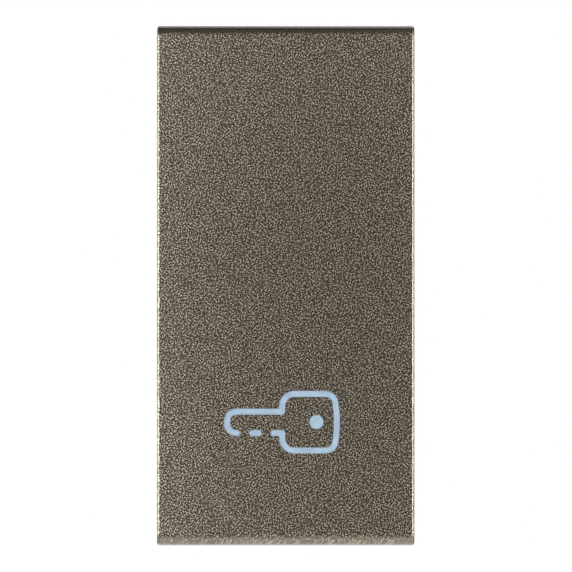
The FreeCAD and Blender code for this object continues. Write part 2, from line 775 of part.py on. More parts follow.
def make_housing():
    body = body_named("rear_housing")
    outside = rect("-housing_side", "housing_side", "-housing_end", "housing_end")
    add(body, "flange_rear", "housing_depth", [outside])
    soften(body, "Fillet", "housing_rounding", lambda edge: runs_along(edge, "y"))
    soften(body, "Fillet", "0.6", lambda edge: near(edge.BoundBox.YMin, sizes.get("housing_depth")))
    cut(body, "flange_rear", "rear_wall_front", [rect(
        "-housing_inner_side", "housing_inner_side", "-housing_inner_end", "housing_inner_end",
    )])
    add(body, "insulator_rear", "rear_wall_front + 0.1", [rect(
        "-0.7", "0.7", "-housing_inner_end - 0.1", "housing_inner_end + 0.1",
    )])
    cross = rect("-housing_inner_side - 0.1", "housing_inner_side + 0.1",
                 "terminal_up - 6.2", "terminal_up - 5")
    add(body, "insulator_rear", "rear_wall_front + 0.1", mirrored(cross, UP_DOWN))
    for low, high in (("terminal_up - 4", "terminal_up - 1.4"), ("terminal_up + 1.4", "terminal_up + 3.4")):
        ledge = rect("strip_outer - 0.5", "housing_inner_side + 0.1", low, high)
        add(body, "strip_rear", "rear_wall_front + 0.1", mirrored(ledge, FOUR))
        rib = rect("0", "terminal_across - 2.7", low, high)
        add(body, "strip_rear", "rear_wall_front + 0.1", mirrored(rib, FOUR))
    cut(body, "rear_wall_front - 0.1", "housing_depth", discs(
        "terminal_across", "terminal_up", "screw_hole_radius", FOUR,
    ))
    soften(body, "Chamfer", "0.5", lambda edge: (
        near(edge.BoundBox.YMin, sizes.get("housing_depth"))
        and near(edge.BoundBox.XLength, 2 * sizes.get("screw_hole_radius"))
    ))
    wire_holes = discs("wire_hole_across", "wire_line", "wire_hole_radius", LEFT_RIGHT)
    cut(body, "housing_inner_end - 0.1", "housing_end + 0.1", wire_holes, "XY")
    cut(body, "-housing_end - 0.1", "-housing_inner_end + 0.1", wire_holes, "XY")
    window = rect("tube_reach + 0.7", "tube_reach + 2.4", "tongue_place - tongue_width / 2 - 0.2",
                  "tongue_place + tongue_width / 2 + 0.2")
    cut(body, "housing_inner_side - 0.1", "housing_side + 0.1", mirrored(window, UP_DOWN), "YZ")
    cut(body, "-housing_side - 0.1", "-housing_inner_side + 0.1", mirrored(window, UP_DOWN), "YZ")
    tooth = [
        ("mount_thick", "housing_end - 0.2"), ("mount_thick", "housing_end + tooth_rise"),
        ("mount_thick + tooth_length", "housing_end"), ("mount_thick + tooth_length", "housing_end - 0.2"),
    ]
    for low, high in (("3.2", "5.6"), ("-5.6", "-3.2")):
        add(body, low, high, [tooth], "YZ")
    latch = [
        ("-3.6", "0.4"), ("3.6", "0.4"), ("3.6", "9"), ("3", "9"),
        ("3", "1"), ("-3", "1"), ("-3", "9"), ("-3.6", "9"),
    ]
    cut(body, "-housing_end - 0.1", "-housing_inner_end + 0.1", [latch], "XY")
    add(body, "-2.4", "2.4", mirrored(tooth, [(1, -1)]), "YZ")
    divider = rect("-0.5", "0.5", "wire_line - 2.8", "wire_line + 3.2")
    add(body, "housing_end - 0.1", "housing_end + 0.6", [divider], "XY")
    add(body, "-housing_end - 0.6", "-housing_end + 0.1", [divider], "XY")
    cut(body, "housing_depth - 0.5", "housing_depth", [rect("-1", "1", "-4.5", "4.5")])
    return body


def make_insulator():
    body = body_named("insulating_plate")
    add(body, "insulator_front", "insulator_rear", [rect(
        "-insulator_width / 2", "insulator_width / 2", "-insulator_height / 2", "insulator_height / 2",
    )])
    soften(body, "Fillet", "0.5", lambda edge: runs_along(edge, "y"))
    add(body, "post_front", "insulator_front + 0.1", [disc("0", "return_up", "return_radius + 0.9")])
    add(body, "post_front - 1.4", "post_front + 0.1", [
        disc("0", "return_up", "return_radius - return_wire - 0.25"),
    ])
    for low, high in (("terminal_up - 3.3", "terminal_up - 2.2"), ("terminal_up + 2.3", "terminal_up + 3.4")):
        boss = rect("terminal_across - 2.4", "terminal_across + 3.6", low, high)
        add(body, "insulator_rear - 0.1", "strip_front", mirrored(boss, FOUR))
    holder = "lamp_width / 2"
    rim_out = rect(f"lamp_across - {holder} - 0.9", f"lamp_across + {holder} + 0.9",
                   "lamp_up - lamp_height / 2 - 0.9", "lamp_up + lamp_height / 2 + 0.9")
    rim_in = rect(f"lamp_across - {holder} - 0.1", f"lamp_across + {holder} + 0.1",
                  "lamp_up - lamp_height / 2 - 0.1", "lamp_up + lamp_height / 2 + 0.1")
    add(body, "insulator_front - 1", "insulator_front", [rim_out, rim_in])
    cut(body, "insulator_front - 0.1", "insulator_rear + 0.1", [
        rect("-(strip_outer - 1.1)", "-(strip_inner - 0.3)", "blade_inner - 0.1", "blade_outer + 0.1"),
        rect("strip_inner - 0.1", "strip_outer - 1.1", "terminal_up - 4.7", "terminal_up - 3.7"),
    ] + discs("pin_across", "pin_up", "pin_radius + 0.15", LEFT_RIGHT))
    return body


# Terminals: two switch contacts at the top, two lamp contacts at the bottom.

def make_common_contact():
    body = body_named("common_contact")
    add(body, "strip_front", "strip_rear", [
        rect("-strip_outer", "-strip_inner", "terminal_up - 4.6", "blade_inner"),
        disc("-terminal_across", "terminal_up", "screw_radius + 0.05"),
    ])
    add(body, "pivot_back - 1.1", "strip_rear", [
        rect("-(strip_outer - 1.2)", "-(strip_inner - 0.2)", "blade_inner", "blade_outer"),
    ])
    slot = rect("plunger_across - lever_tongue / 2 - 0.2", "plunger_across + lever_tongue / 2 + 0.2",
                "pivot_back - 0.7", "pivot_back + 0.7")
    cut(body, "blade_inner - 0.1", "blade_outer + 0.1", [slot], "XY")
    return body


def make_fixed_contact():
    body = body_named("fixed_contact")
    add(body, "strip_front", "strip_rear", [
        rect("strip_inner", "strip_outer", "terminal_up - 4.6", "terminal_up + 3.6"),
        disc("terminal_across", "terminal_up", "screw_radius + 0.05"),
    ])
    riser_outer = "strip_outer - 1.2"
    add(body, "fixed_front", "strip_rear", [
        rect("strip_inner", riser_outer, "terminal_up - 4.6", "terminal_up - 3.8"),
    ])
    arm_end = "plunger_across - 2"
    arm_low, arm_high = "pivot_up - tip_down - 1.6", "pivot_up - tip_down + 1.6"
    add(body, "fixed_front", "insulator_front", [[
        ("strip_inner", "terminal_up - 4.1"), (riser_outer, "terminal_up - 4.1"),
        (riser_outer, arm_low), (arm_end, arm_low), (arm_end, arm_high), ("strip_inner", arm_high),
    ]])
    return body


def make_lamp_contact(label, hand):
    body = body_named(label)
    strip = rect("strip_inner", "strip_outer", "-(terminal_up + 3.6)", "pin_up + 0.7")
    add(body, "strip_front", "strip_rear", mirrored(strip, [(hand, 1)]) + [
        disc(f"{hand} * terminal_across", "-terminal_up", "screw_radius + 0.05"),
        disc(f"{hand} * pin_across", "pin_up", "pin_radius + 0.03"),
    ])
    return body


def make_clamps():
    body = body_named("clamp_plates")
    inner = "terminal_across - 2.4"
    plate = rect(inner, "terminal_across + 3.6", "terminal_up - 2.4", "terminal_up + 2.4")
    add(body, "clamp_front", "clamp_rear", mirrored(plate, FOUR))
    lip = rect(inner, f"{inner} + 0.7", "terminal_up - 2.4", "terminal_up + 2.4")
    add(body, "clamp_front - 1.8", "clamp_front + 0.1", mirrored(lip, FOUR))
    cut(body, "clamp_front - 0.1", "clamp_rear + 0.1", discs(
        "terminal_across", "terminal_up", "screw_radius + 0.1", FOUR,
    ))
    return body


def make_screws():
    body = body_named("terminal_screws")
    place = ("terminal_across", "terminal_up")
    add(body, "insulator_rear + 0.4", "clamp_rear + 0.1", discs(*place, "screw_radius", FOUR))
    add(body, "clamp_rear", "clamp_rear + screw_head_thick", discs(*place, "screw_head_radius", FOUR))
    soften(body, "Chamfer", "0.35", lambda edge: (
        edge.BoundBox.YLength < 1e-6 and near(edge.BoundBox.YMin, number_of("clamp_rear + screw_head_thick"))
    ))
    for half_width, half_height in (("1.9", "0.3"), ("0.3", "1.3")):
        slot = rect(
            f"terminal_across - {half_width}", f"terminal_across + {half_width}",
            f"terminal_up - {half_height}", f"terminal_up + {half_height}",
        )
        cut(body, "clamp_rear + screw_head_thick - 1", "clamp_rear + screw_head_thick", mirrored(slot, FOUR))
    return body


# Contact lever, drawn closed about its pivot and tilted to its rest position.

def tilt(item, across, back, up, angle):
    item.Placement = turned_about_x(1)
    for axis, text in (("x", across), ("y", back), ("z", up)):
        item.setExpression(f"Placement.Base.{axis}", full(text))
    item.setExpression("Placement.Rotation.Angle", full(angle))


def make_lever():
    body = body_named("contact_lever")
    wide, narrow = "lever_width / 2", "lever_tongue / 2"
    add(body, "-sheet_thick / 2", "sheet_thick / 2", [[
        (f"-{wide}", "-lever_length"), (wide, "-lever_length"), (wide, "-0.8"), (narrow, "-0.8"),
        (narrow, "0.95"), (f"-{narrow}", "0.95"), (f"-{narrow}", "-0.8"), (f"-{wide}", "-0.8"),
    ]])
    soften(body, "Fillet", "0.4", lambda edge: (
        runs_along(edge, "y") and abs(edge.BoundBox.XMax) > number_of(narrow) + 0.1
    ))
    add(body, f"-{narrow}", narrow, [disc("0", "0", "sheet_thick / 2 + 0.1")], "YZ")
    tilt(body, "plunger_across", "pivot_back", "pivot_up", "-lever_tilt")
    return body


def make_lever_tip():
    body = body_named("lever_tip")
    add(body, "sheet_thick / 2", "sheet_thick / 2 + tip_thick", [disc("0", "-tip_down", "tip_radius")])
    soften(body, "Chamfer", "0.2", lambda edge: (
        near(edge.BoundBox.YMin, number_of("sheet_thick / 2 + tip_thick")) and edge.BoundBox.YLength < 1e-6
    ))
    tilt(body, "plunger_across", "pivot_back", "pivot_up", "-lever_tilt")
    return body


def make_fixed_tip():
    body = body_named("fixed_contact_tip")
    add(body, "fixed_tip_front", "fixed_front", [
        disc("plunger_across", "pivot_up - tip_down", "tip_radius + 0.1"),
    ])
    soften(body, "Chamfer", "0.2", lambda edge: near(edge.BoundBox.YMax, places.fixed_tip_front))
    return body


# Equalizer wires: bent wires that keep the button parallel while it moves.

def make_wire(label, hand):
    body = body_named(label)
    path = sketch_on(body, "XZ", "0")
    arm = f"{-hand} * wire_arm"
    draw_path(path, [
        ("-wire_pin", arm, None),
        ("-wire_span", arm, "wire_bend"),
        ("-wire_span", "0", "wire_bend"),
        ("wire_span", "0", "wire_bend"),
        ("wire_span", arm, "wire_bend"),
        ("wire_pin", arm, None),
    ])
    profile = outline(body, "YZ", "-wire_pin", [disc("0", arm, "wire_radius")])
    pipe = body.newObject("PartDesign::AdditivePipe", "Pipe")
    pipe.Profile = profile
    pipe.Spine = path
    tilt(body, "0", "-wire_axis_front", f"{hand} * wire_axis_up", f"{-hand} * wire_tilt")
    return body


def make_spring(label, across, up, radius, wire, turns, front, back):
    """A wire wound about an axis along Y, from front to back. Six flats stand for its round section."""
    coil = doc.addObject("Part::Helix", f"{label}_coil")
    length = f"(({back}) - ({front}) - 2 * {wire})"
    coil.setExpression("Radius", full(radius))
    coil.setExpression("Pitch", full(f"{length} / {turns}"))
    coil.setExpression("Height", full(length))
    section = doc.addObject("Part::RegularPolygon", f"{label}_section")
    section.Polygon = 6
    section.setExpression("Circumradius", full(wire))
    section.Placement = turned_about_x(90)
    section.setExpression("Placement.Base.x", full(radius))
    spring = doc.addObject("Part::Sweep", label)
    doc.recompute()
    spring.Sections = [section]
    spring.Spine = (coil, ["Edge1"])
    spring.Solid = True
    spring.Frenet = True
    spring.Placement = turned_about_x(-90)
    spring.setExpression("Placement.Base.x", full(across))
    spring.setExpression("Placement.Base.y", full(f"({front}) + {wire}"))
    spring.setExpression("Placement.Base.z", full(up))
    return spring


# Lamp: holder, circuit board with its parts, pins and the light guide.

def make_lamp_holder():
    body = body_named("lamp_holder")
    half_width, half_height = "lamp_width / 2", "lamp_height / 2"
    add(body, "lamp_front", "insulator_front", [rect(
        f"lamp_across - {half_width}", f"lamp_across + {half_width}",
        f"lamp_up - {half_height}", f"lamp_up + {half_height}",
    )])
    soften(body, "Fillet", "0.4", lambda edge: runs_along(edge, "y"))
    cut(body, "lamp_front", "lamp_rear", [rect(
        "lamp_across - board_width / 2 - 0.1", "lamp_across + board_width / 2 + 0.1",
        "lamp_up - board_height / 2 - 0.1", "lamp_up + board_height / 2 + 0.1",
    )])
    cut(body, "lamp_rear - 0.1", "insulator_front - 1.2", [rect(
        "lamp_across - lamp_width / 2 + 1.3", "lamp_across + lamp_width / 2 - 1.3",
        "diode_up - 1.1", "pin_up - 0.9",
    )])
    cut(body, "lamp_rear - 0.1", "insulator_front + 0.1", discs(
        "pin_across", "pin_up", "pin_radius + 0.1", LEFT_RIGHT,
    ))
    return body


def make_board():
    body = body_named("lamp_board")
    leads = [disc(f"lamp_across + {hand} * lead_reach", up, "lead_radius + 0.07")
             for hand in (1, -1) for up in ("resistor_up", "diode_up")]
    add(body, "board_front", "lamp_rear", [rect(
        "lamp_across - board_width / 2", "lamp_across + board_width / 2",
        "lamp_up - board_height / 2", "lamp_up + board_height / 2",
    )] + leads + discs("pin_across", "pin_up", "pin_radius + 0.04", LEFT_RIGHT))
    return body


def make_led():
    body = body_named("led")
    add(body, "board_front - led_thick + 0.25", "board_front", [rect(
        "lamp_across - led_width / 2", "lamp_across + led_width / 2",
        "lamp_up - led_height / 2", "lamp_up + led_height / 2",
    )])
    add(body, "board_front - led_thick", "board_front - led_thick + 0.3", [
        disc("lamp_across", "lamp_up", "1.15"),
    ])
    return body


def make_axial_component(label, up, radius, length):
    """A round component whose two leads are bent forward into the board."""
    body = body_named(label)
    middle = "lamp_rear + 1.5"
    path = sketch_on(body, "XY", up)
    draw_path(path, [
        ("lamp_across - lead_reach", "board_front - 0.1", None),
        ("lamp_across - lead_reach", middle, None),
        ("lamp_across + lead_reach", middle, None),
        ("lamp_across + lead_reach", "board_front - 0.1", None),
    ])
    profile = outline(body, "XZ", "board_front - 0.1", [disc("lamp_across - lead_reach", up, "lead_radius")])
    pipe = body.newObject("PartDesign::AdditivePipe", "Lead")
    pipe.Profile = profile
    pipe.Spine = path
    pipe.Transition = "Right corner"
    add(body, f"lamp_across - {length} / 2", f"lamp_across + {length} / 2", [disc(middle, up, radius)], "YZ")
    return body


def make_lamp_pins():
    body = body_named("lamp_pins")
    add(body, "board_front - 0.4", "strip_rear + 0.4", discs(
        "pin_across", "pin_up", "pin_radius", LEFT_RIGHT,
    ))
    return body


def make_light_guide():
    body = body_named("light_guide")
    add(body, "lamp_front - 0.8", "lamp_front", [rect(
        "lamp_across - lamp_width / 2 + 0.1", "lamp_across + lamp_width / 2 - 0.1",
        "lamp_up - lamp_height / 2 + 0.1", "lamp_up + lamp_height / 2 - 0.1",
    )])
    wide = rect("lamp_across - lamp_width / 2 + 0.1", "lamp_across + lamp_width / 2 - 0.1",
                "lamp_up - 3.2", "lamp_up + 3.2")
    slim = rect("lamp_across - 2.2", "lamp_across + 2.2", "lamp_up - 2", "lamp_up + 2")
    front = outline(body, "XZ", "plate_rear + 1.5", [wide])
    back = outline(body, "XZ", "lamp_front - 0.75", [slim])
    funnel = body.newObject("PartDesign::AdditiveLoft", "Funnel")
    funnel.Profile = back
    funnel.Sections = [front]
    funnel.Ruled = True
    add(body, "plate_rear + 0.5", "plate_rear + 1.55", [wide])
    return body


node(make_cap(), "button_cap")
node(make_inlay(), "symbol_inlay")
node(make_carriage(), "carriage")
node(make_plunger(), "plunger")
node(make_frame(), "front_frame")
node(make_bumpers(), "damping_pads")
node(make_housing(), "rear_housing")
node(make_insulator(), "insulating_plate")
node(make_common_contact(), "common_contact")
node(make_fixed_contact(), "fixed_contact")
node(make_lamp_contact("lamp_contact_left", -1), "lamp_contact_left")
node(make_lamp_contact("lamp_contact_right", 1), "lamp_contact_right")
node(make_clamps(), "clamp_plates")
node(make_screws(), "terminal_screws")
node(make_lever(), "contact_lever")
node(make_lever_tip(), "lever_tip")
node(make_fixed_tip(), "fixed_contact_tip")
node(make_wire("equalizer_wire_upper", 1), "equalizer_wire_upper")
node(make_wire("equalizer_wire_lower", -1), "equalizer_wire_lower")
node(make_spring("return_spring", "0", "return_up", "return_radius", "return_wire",
                 "return_turns", "plate_rear", "post_front"), "return_spring")
node(make_spring("contact_spring", "plunger_across", "contact_spring_up", "contact_spring_radius",
                 "contact_spring_wire", "contact_spring_turns", "spring_front", "insulator_front"),
     "contact_spring")
node(make_lamp_holder(), "lamp_holder")
node(make_board(), "lamp_board")
node(make_led(), "led")
node(make_axial_component("series_resistor", "resistor_up", "0.95", "4.4"), "series_resistor")
node(make_axial_component("rectifier_diode", "diode_up", "0.85", "3.6"), "rectifier_diode")
node(make_lamp_pins(), "lamp_pins")
node(make_light_guide(), "light_guide")

doc.recompute()

# Every object is looked at before anything is written.
for item in doc.Objects:
    if "Invalid" in item.State or "Error" in item.State:
        owners = [owner.Label for owner in item.InList]
        raise RuntimeError(f"{item.Label}, used by {owners}, did not build: {item.State}")
for item in NODES:
    if item.Shape.isNull() or not item.Shape.isValid() or not item.Shape.Solids:
        raise RuntimeError(f"{item.Label} is not a valid solid")
for item in NODES:
    item.Shape.exportStep(f"parts/{item.Label}.step")
    print(item.Label, len(item.Shape.Solids), "solids")
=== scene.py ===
import json
import math

import bpy
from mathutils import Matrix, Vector


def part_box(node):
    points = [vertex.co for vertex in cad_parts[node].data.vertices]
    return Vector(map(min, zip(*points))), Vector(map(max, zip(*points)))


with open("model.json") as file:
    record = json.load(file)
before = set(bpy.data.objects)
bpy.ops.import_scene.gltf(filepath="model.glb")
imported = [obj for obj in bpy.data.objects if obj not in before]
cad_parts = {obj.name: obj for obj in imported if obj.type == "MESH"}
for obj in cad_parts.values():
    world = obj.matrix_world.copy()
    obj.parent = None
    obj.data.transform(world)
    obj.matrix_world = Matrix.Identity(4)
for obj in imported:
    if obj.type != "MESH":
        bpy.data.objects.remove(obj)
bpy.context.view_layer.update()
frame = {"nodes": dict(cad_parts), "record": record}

MM = 0.001

# The photograph is 572 pixels wide and high. The cap takes 519.6 of them in height.
IMAGE = 572
CAP_TALL = 44.85 * MM
CAP_TALL_PX = 519.6
CAP_MIDDLE_PX = (285.65, 285.7)
PIXEL = CAP_TALL / CAP_TALL_PX
CAMERA_AWAY = 1.5
CAMERA_SEES = (0.01, 10.0)
SENSOR = 36.0

CAP_LOW, CAP_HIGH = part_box("button_cap")

# The floor lies below the cap. From the middle outwards it turns white between two distances.
FLOOR_SIZE = 2.2
FLOOR_BELOW_CAP = 0.022
FLOOR_WHITENS = (0.07, 0.20)

# The surround's light has one strength at and below a height, and another at and above a second one.
SURROUND_HEIGHTS = (-0.5, 0.3)
SURROUND_STRENGTHS = (0.30, 0.03)

# Size in mm of the paint's flakes and of the patches in which they are a little denser.
FLAKE_MM = 0.12
DRIFT_MM = 1.0
DRIFT_SHARE = 0.06


# Colours are written as the eye sees them, 0 to 255, and turned into linear light.

def linear(value):
    """One colour value of 0 to 255 as linear light, by the usual curve of screens."""
    value = value / 255
    return value / 12.92 if value <= 0.04045 else ((value + 0.055) / 1.055) ** 2.4


def colour(red, green, blue):
    """A colour as sockets take it: three parts of linear light, and opaque."""
    return (linear(red), linear(green), linear(blue), 1.0)


# Materials. A Paint holds one node tree and its main shader.

RANGE_SOCKETS = ("From Min", "From Max", "To Min", "To Max")


class Paint:
    def __init__(self, name, rough=0.5, metal=0.0):
        self.material = bpy.data.materials.new(name)
        self.material.use_nodes = True
        self.tree = self.material.node_tree
        self.shader = self.tree.nodes["Principled BSDF"]
        self.shader.inputs["Roughness"].default_value = rough
        self.shader.inputs["Metallic"].default_value = metal
        self.place = self.node("ShaderNodeTexCoord").outputs["Object"]

    def node(self, kind, **values):
        item = self.tree.nodes.new(kind)
        for key, value in values.items():
            setattr(item, key, value)
        return item

    def link(self, source, target):
        self.tree.links.new(source, target)

    def set(self, socket, value):
        self.shader.inputs[socket].default_value = value

    def stretched(self, x=1.0, y=1.0, z=1.0):
        """The place in the object, stretched along its axes, for grain with a direction."""
        mapping = self.node("ShaderNodeMapping")
        mapping.inputs["Scale"].default_value = (x, y, z)
        self.link(self.place, mapping.inputs["Vector"])
        return mapping.outputs["Vector"]

    def flattened(self, shift=0.8, turn=0.75):
        """The place across and up, shifted with the depth and turned: an even grain on front and sides."""
        split = self.node("ShaderNodeSeparateXYZ")
        self.link(self.place, split.inputs["Vector"])
        joined = self.node("ShaderNodeCombineXYZ")
        for source, target in (("X", "X"), ("Z", "Y")):
            moved = self.node("ShaderNodeMath", operation="MULTIPLY_ADD")
            moved.inputs[1].default_value = shift
            self.link(split.outputs["Y"], moved.inputs[0])
            self.link(split.outputs[source], moved.inputs[2])
            self.link(moved.outputs[0], joined.inputs[target])
        mapping = self.node("ShaderNodeMapping")
        mapping.inputs["Rotation"].default_value = (0.0, 0.0, turn)
        self.link(joined.outputs["Vector"], mapping.inputs["Vector"])
        return mapping.outputs["Vector"]

    def noise(self, size_mm, detail=2.0, rough=0.5, vector=None):
        item = self.node("ShaderNodeTexNoise")
        item.inputs["Scale"].default_value = 1 / (size_mm * MM)
        item.inputs["Detail"].default_value = detail
        item.inputs["Roughness"].default_value = rough
        self.link(vector or self.place, item.inputs["Vector"])
        return item.outputs["Fac"]

    def ramp(self, source, stops):
        item = self.node("ShaderNodeValToRGB")
        elements = item.color_ramp.elements
        while len(elements) < len(stops):
            elements.new(0.5)
        for element, (position, shade) in zip(elements, stops):
            element.position = position
            element.color = shade
        self.link(source, item.inputs["Fac"])
        return item.outputs["Color"]

    def scaled(self, source, low, high, new_low, new_high):
        item = self.node("ShaderNodeMapRange")
        for name, value in zip(RANGE_SOCKETS, (low, high, new_low, new_high)):
            item.inputs[name].default_value = value
        self.link(source, item.inputs["Value"])
        return item.outputs["Result"]

    def swayed(self, source, other, share):
        """The source raised and lowered by a share of the other, which runs from 0 to 1."""
        item = self.node("ShaderNodeMath", operation="ADD")
        self.link(source, item.inputs[0])
        self.link(self.scaled(other, 0.0, 1.0, -share / 2, share / 2), item.inputs[1])
        return item.outputs[0]

    def mixed(self, factor, one, other):
        item = self.node("ShaderNodeMix", data_type="RGBA")
        for socket, value in ((item.inputs[0], factor), (item.inputs[6], one), (item.inputs[7], other)):
            if isinstance(value, bpy.types.NodeSocket):
                self.link(value, socket)
            else:
                socket.default_value = value
        return item.outputs[2]

    def bumped(self, height, depth_mm, strength=1.0):
        item = self.node("ShaderNodeBump")
        item.inputs["Distance"].default_value = depth_mm * MM
        item.inputs["Strength"].default_value = strength
        self.link(height, item.inputs["Height"])
        if self.shader.inputs["Normal"].is_linked:
            self.link(self.shader.inputs["Normal"].links[0].from_socket, item.inputs["Normal"])
        self.link(item.outputs["Normal"], self.shader.inputs["Normal"])


def moulded(name, shade, rough=0.5, grain_mm=0.12, bump_mm=0.004):
    """Matt moulded plastic: faint flow clouds, spark-eroded grain and small changes of gloss."""
    paint = Paint(name, rough)
    clouds = paint.noise(6.0, 3.0)
    darker = tuple(part * 0.975 for part in shade[:3]) + (1.0,)
    lighter = tuple(min(1.0, part * 1.015) for part in shade[:3]) + (1.0,)
    paint.link(paint.ramp(clouds, [(0.3, darker), (0.7, lighter)]), paint.shader.inputs["Base Color"])
    grain = paint.noise(grain_mm, 3.0, 0.6)
    paint.link(paint.scaled(grain, 0.3, 0.7, rough - 0.07, rough + 0.08), paint.shader.inputs["Roughness"])
    paint.bumped(grain, bump_mm, 0.6)
    return paint


def sheet_metal(name, shade, rough=0.3, along=(1.0, 1.0, 12.0), tarnish=0.8):
    """Stamped metal: fine rolling lines along one axis and faint tarnish."""
    paint = Paint(name, rough, 1.0)
    lines = paint.noise(0.35, 4.0, 0.6, paint.stretched(*along))
    blotches = paint.noise(2.2, 3.0)
    dull = tuple(part * tarnish for part in shade[:3]) + (1.0,)
    base = paint.ramp(blotches, [(0.35, dull), (0.65, shade)])
    paint.link(base, paint.shader.inputs["Base Color"])
    paint.link(paint.scaled(lines, 0.3, 0.7, rough - 0.06, rough + 0.12), paint.shader.inputs["Roughness"])
    paint.bumped(lines, 0.003, 0.5)
    return paint


def cap_metallic():
    """Dark bronze metallic paint: light and dark flakes on the face, smoother on roundings and sides."""
    paint = Paint("cap_metallic", 0.3, 0.75)
    place = paint.flattened()
    flakes = paint.noise(FLAKE_MM, 0.0, 0.5, place)
    drifts = paint.noise(DRIFT_MM, 0.0, 0.5, place)
    for grain in (flakes, drifts):
        grain.node.noise_dimensions = "2D"
    stops = [
        (0.20, colour(26, 22, 15)), (0.38, colour(45, 39, 30)), (0.50, colour(77, 69, 58)),
        (0.62, colour(119, 111, 99)), (0.80, colour(178, 169, 155)),
    ]
    grainy = paint.ramp(paint.swayed(flakes, drifts, DRIFT_SHARE), stops)
    facing = paint.node("ShaderNodeSeparateXYZ")
    paint.link(paint.node("ShaderNodeTexCoord").outputs["Normal"], facing.inputs["Vector"])
    turned_away, to_the_front = -0.93, -0.995
    least_grain = 0.35
    flat = paint.scaled(facing.outputs["Y"], turned_away, to_the_front, least_grain, 1.0)
    paint.link(paint.mixed(flat, colour(95, 88, 77), grainy), paint.shader.inputs["Base Color"])
    paint.bumped(flakes, 0.004, 0.5)
    return paint


def symbol_clear():
    """Pale blue translucent plastic; its light from behind is a painted glow, an emission of its own
    colour.
    """
    paint = Paint("symbol_clear", 0.35)
    clouds = paint.noise(0.8, 2.0)
    shade = paint.ramp(clouds, [(0.35, colour(111, 128, 142)), (0.65, colour(121, 138, 153))])
    paint.link(shade, paint.shader.inputs["Base Color"])
    # Painted glow: the symbol's blue is also given as emission, standing in for the light from behind.
    paint.link(shade, paint.shader.inputs["Emission Color"])
    paint.set("Emission Strength", 0.12)
    paint.set("Subsurface Weight", 0.3)
    paint.set("Subsurface Radius", (0.0004, 0.0005, 0.0007))
    paint.bumped(paint.noise(0.2), 0.002, 0.4)
    return paint


def screw_steel():
    """Turned steel with a thin zinc layer that changes its tone a little."""
    paint = Paint("screw_steel", 0.25, 1.0)
    turned = paint.noise(0.12, 3.0, 0.6)
    zinc = paint.noise(1.4, 3.0)
    tones = [(0.3, colour(176, 176, 174)), (0.5, colour(188, 188, 184)), (0.7, colour(192, 188, 174))]
    paint.link(paint.ramp(zinc, tones), paint.shader.inputs["Base Color"])
    paint.link(paint.scaled(turned, 0.3, 0.7, 0.18, 0.36), paint.shader.inputs["Roughness"])
    paint.bumped(turned, 0.004, 0.5)
    return paint


def board_laminate():
    """Green board with the faint squares of its glass weave under a thin lacquer."""
    weave_mm = 0.45
    paint = Paint("board_laminate", 0.32)
    weave = paint.node("ShaderNodeTexChecker")
    weave.inputs["Scale"].default_value = 1 / (weave_mm * MM)
    weave.inputs["Color1"].default_value = colour(34, 92, 52)
    weave.inputs["Color2"].default_value = colour(28, 80, 46)
    paint.link(paint.place, weave.inputs["Vector"])
    clouds = paint.noise(1.5, 2.0)
    base = paint.mixed(clouds, weave.outputs["Color"], colour(30, 84, 50))
    paint.link(base, paint.shader.inputs["Base Color"])
    paint.bumped(weave.outputs["Fac"], 0.004, 0.4)
    paint.set("Coat Weight", 0.3)
    return paint


def led_body():
    """Milky body of the light source, glowing faintly."""
    paint = Paint("led_body", 0.15)
    tones = [(0.35, colour(214, 226, 244)), (0.65, colour(246, 248, 252))]
    glow = paint.ramp(paint.noise(0.9, 1.0), tones)
    paint.link(glow, paint.shader.inputs["Base Color"])
    paint.link(glow, paint.shader.inputs["Emission Color"])
    paint.set("Emission Strength", 0.4)
    paint.set("Coat Weight", 0.5)
    return paint


def banded(name, ground, bands, rough):
    """A lacquered round component with painted rings along X, between its two bare leads."""
    lead = colour(190, 188, 182)
    body_from, body_to = 0.17, 0.83
    half_band = 0.03
    paint = Paint(name, rough)
    split = paint.node("ShaderNodeSeparateXYZ")
    paint.link(paint.place, split.inputs["Vector"])
    low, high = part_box(name)
    along = paint.scaled(split.outputs["X"], low.x, high.x, 0.0, 1.0)
    stops = [(0.0, lead), (body_from, ground)]
    for middle, shade in bands:
        stops += [(middle - half_band, shade), (middle + half_band, ground)]
    stops.append((body_to, lead))
    base = paint.ramp(along, stops)
    base.node.color_ramp.interpolation = "CONSTANT"
    paint.link(base, paint.shader.inputs["Base Color"])
    paint.bumped(paint.noise(0.3, 2.0), 0.008, 0.4)
    return paint


def guide_clear():
    """Clear plastic with a faint cast."""
    paint = Paint("guide_clear", 0.08)
    tint = paint.ramp(paint.noise(3.0, 2.0), [(0.3, colour(226, 236, 244)), (0.7, colour(244, 248, 250))])
    paint.link(tint, paint.shader.inputs["Base Color"])
    paint.set("Transmission Weight", 0.9)
    paint.set("IOR", 1.49)
    paint.bumped(paint.noise(1.2, 2.0), 0.004, 0.2)
    return paint


RESISTOR_BANDS = [
    (0.3, colour(150, 60, 30)), (0.42, colour(30, 30, 30)),
    (0.54, colour(210, 110, 30)), (0.7, colour(180, 140, 60)),
]
DIODE_BANDS = [(0.72, colour(200, 200, 200))]

